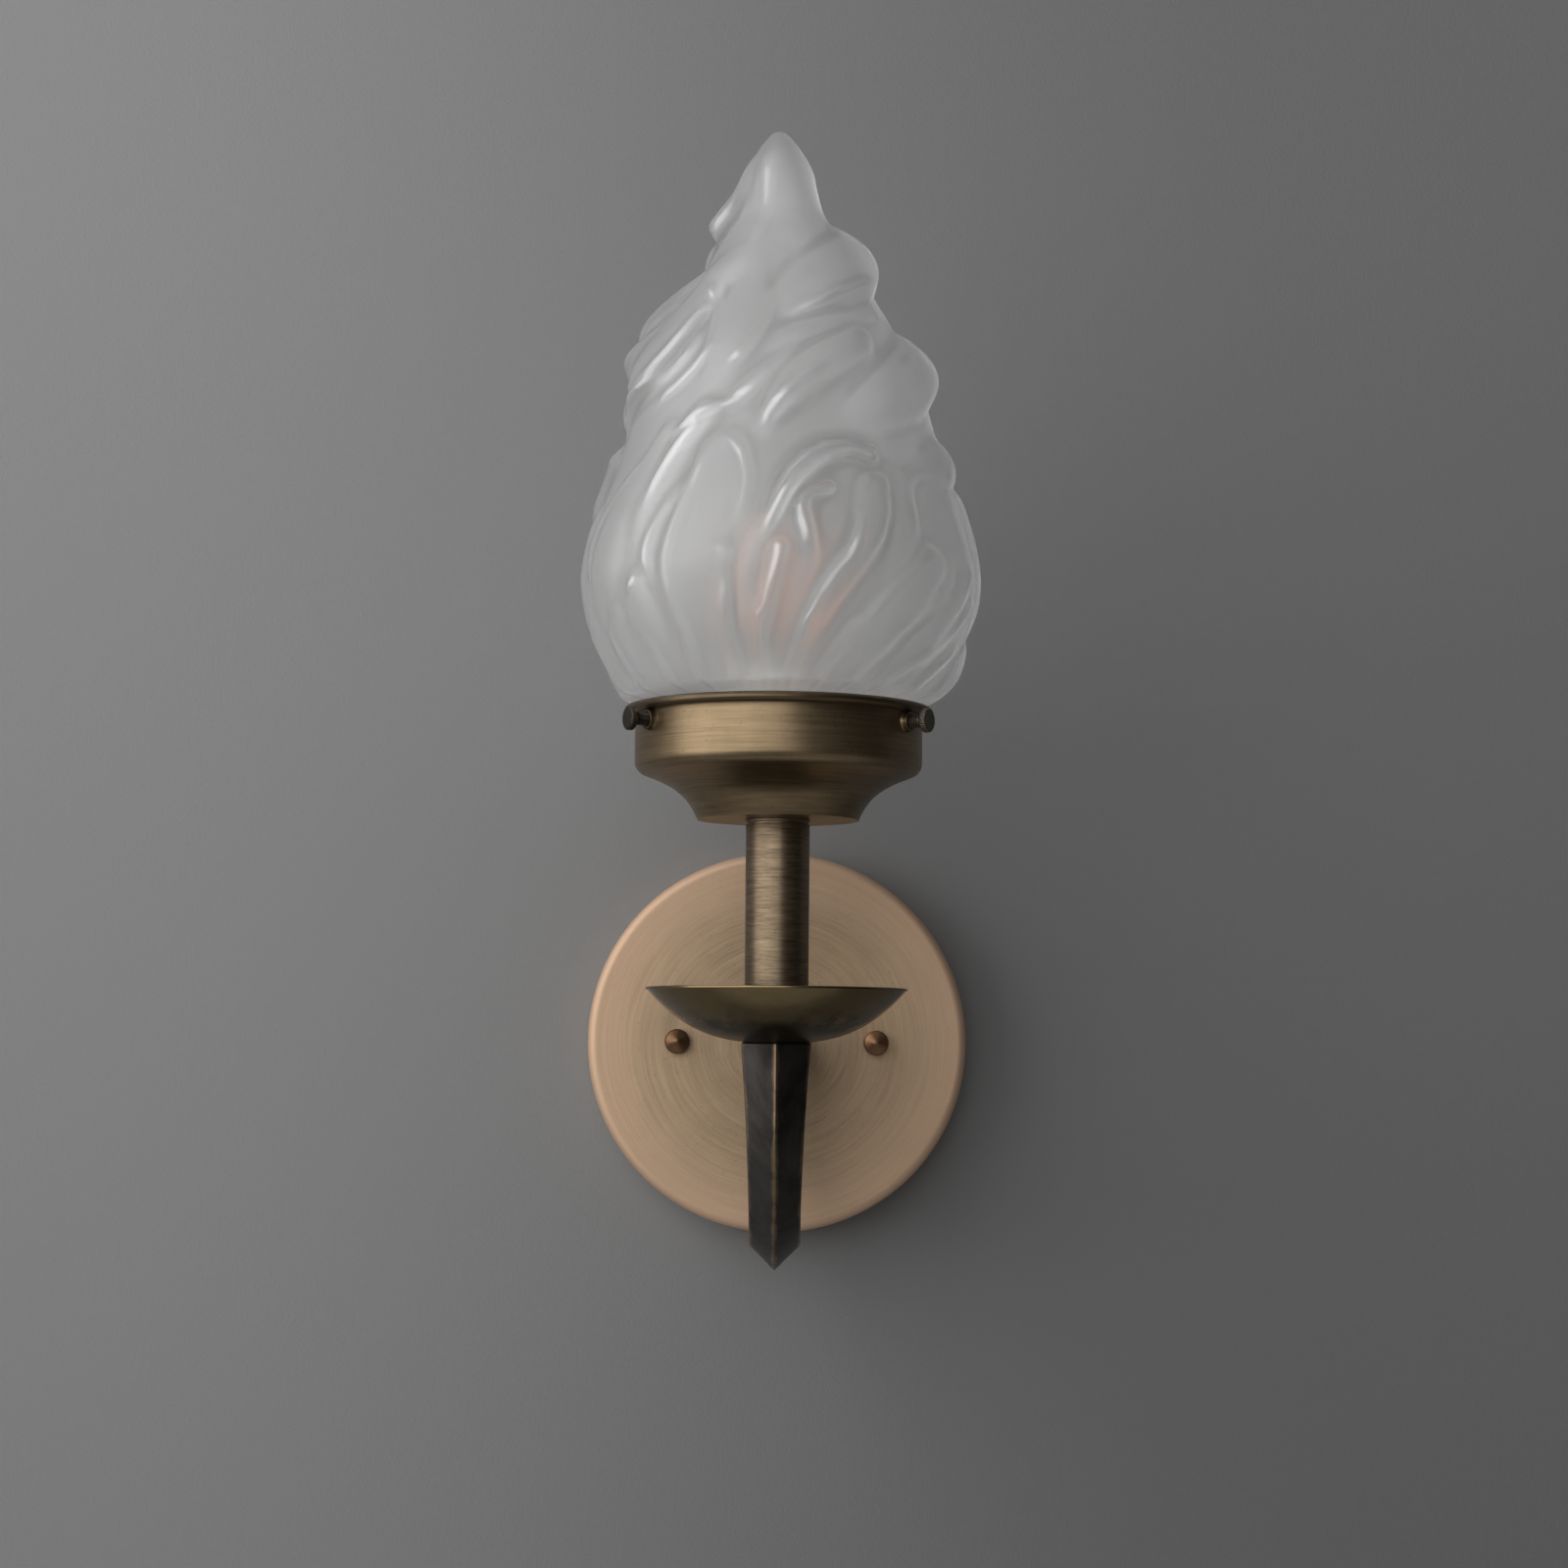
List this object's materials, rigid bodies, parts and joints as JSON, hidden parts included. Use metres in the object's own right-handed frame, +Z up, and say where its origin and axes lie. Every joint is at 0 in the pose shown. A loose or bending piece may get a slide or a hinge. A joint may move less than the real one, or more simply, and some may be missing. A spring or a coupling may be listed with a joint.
{
  "type": "wall sconce",
  "caption": "Wall light with a round plate, a curved arm, a dish, a candle tube and a cup that holds a frosted glass shade shaped like a flame.",
  "frame": {"origin": "centre of the round wall plate, in the plane of the wall", "axes": "+X to the right as seen from the room, +Y into the wall, +Z up; the lamp stands on the -Y side"},
  "size_m": [0.1334, 0.1951, 0.3657],
  "materials": {
    "plate_metal": "brushed, tan, satin",
    "dark_metal": "dark bronze patina with worn edges, satin",
    "dish_metal": "dark olive bronze patina, brushed, satin",
    "tube_metal": "bronze patina, brushed, satin",
    "cup_metal": "bronze patina, brushed round, satin",
    "nut_metal": "copper brown, satin",
    "screw_metal": "dark bronze, knurled, satin",
    "raw_brass": "plain",
    "zinc_steel": "zinc plated",
    "green_steel": "green plated",
    "porcelain": "glazed white porcelain",
    "contact_metal": "plain",
    "wire_black": "satin",
    "wire_white": "satin",
    "wire_green": "satin",
    "connector_plastic": "moulded",
    "bulb_cap_metal": "plated, bright",
    "bulb_black": "glassy black",
    "clear_glass": "clear",
    "filament": "matt coating",
    "frosted_glass": "pressed, frosted, satin",
    "soft_tip": "soft, matt"
  },
  "bodies": {
    "fixture": {"wall_bracket": "zinc_steel", "ground_screw": "green_steel", "canopy": "plate_metal", "canopy_studs": "zinc_steel", "stud_lock_nuts": "zinc_steel", "cap_nuts": "nut_metal", "arm_nipple": "raw_brass", "nipple_washer": "zinc_steel", "nipple_nut": "zinc_steel", "arm_collar": "dark_metal", "arm": "dark_metal", "bobeche": "dish_metal", "candle_tube": "tube_metal", "lamp_pipe": "raw_brass", "neck_ring": "tube_metal", "shade_holder": "cup_metal", "screw_bosses": "cup_metal", "pipe_washer": "zinc_steel", "pipe_nut": "zinc_steel", "socket_cap": "raw_brass", "socket_body": "porcelain", "socket_screw_shell": "contact_metal", "socket_contact": "contact_metal", "socket_terminals": "contact_metal", "lead_black": "wire_black", "lead_white": "wire_white", "lead_ground": "wire_green", "wire_connectors": "connector_plastic"},
    "bulb_foot": {"bulb_contact": "bulb_cap_metal"},
    "bulb": {"bulb_base": "bulb_cap_metal", "bulb_insulator": "bulb_black", "bulb_envelope": "clear_glass", "bulb_stem": "clear_glass", "bulb_filaments": "filament", "filament_wires": "contact_metal"},
    "shade": {"flame_shade": "frosted_glass"},
    "tip_left": {"screw_tip_left": "soft_tip"},
    "screw_left": {"thumb_screw_left": "screw_metal"},
    "tip_right": {"screw_tip_right": "soft_tip"},
    "screw_right": {"thumb_screw_right": "screw_metal"},
    "tip_back": {"screw_tip_back": "soft_tip"},
    "screw_back": {"thumb_screw_back": "screw_metal"}
  },
  "joints": [
    {"name": "bulb_travel", "type": "slide", "parent": "fixture", "child": "bulb_foot", "axis": [0, 0, 1], "range_m": [0, 0.02178]},
    {"name": "bulb_turn", "type": "hinge", "parent": "bulb_foot", "child": "bulb", "pos_m": [0, -0.132, 0.11], "axis": [0, 0, 1], "range_deg": [0, 2160]},
    {"name": "shade_lift", "type": "slide", "parent": "fixture", "child": "shade", "axis": [0, 0, 1], "range_m": [0, 0.11]},
    {"name": "screw_left_travel", "type": "slide", "parent": "fixture", "child": "tip_left", "axis": [-0.866, -0.5, 0], "range_m": [0, 0.00238]},
    {"name": "screw_left_turn", "type": "hinge", "parent": "tip_left", "child": "screw_left", "pos_m": [-0.0433, -0.157, 0.0991], "axis": [-0.866, -0.5, 0], "range_deg": [0, 1080]},
    {"name": "screw_right_travel", "type": "slide", "parent": "fixture", "child": "tip_right", "axis": [0.866, -0.5, 0], "range_m": [0, 0.00238]},
    {"name": "screw_right_turn", "type": "hinge", "parent": "tip_right", "child": "screw_right", "pos_m": [0.0433, -0.157, 0.0991], "axis": [0.866, -0.5, 0], "range_deg": [0, 1080]},
    {"name": "screw_back_travel", "type": "slide", "parent": "fixture", "child": "tip_back", "axis": [0, 1, 0], "range_m": [0, 0.00238]},
    {"name": "screw_back_turn", "type": "hinge", "parent": "tip_back", "child": "screw_back", "pos_m": [0, -0.082, 0.0991], "axis": [0, 1, 0], "range_deg": [0, 1080]}
  ],
  "couplings": [
    {"joint": "bulb_turn", "follows": "bulb_travel", "rad_per_m": 1730.9},
    {"joint": "screw_left_turn", "follows": "screw_left_travel", "rad_per_m": 7915.8},
    {"joint": "screw_right_turn", "follows": "screw_right_travel", "rad_per_m": 7915.8},
    {"joint": "screw_back_turn", "follows": "screw_back_travel", "rad_per_m": 7915.8}
  ]
}
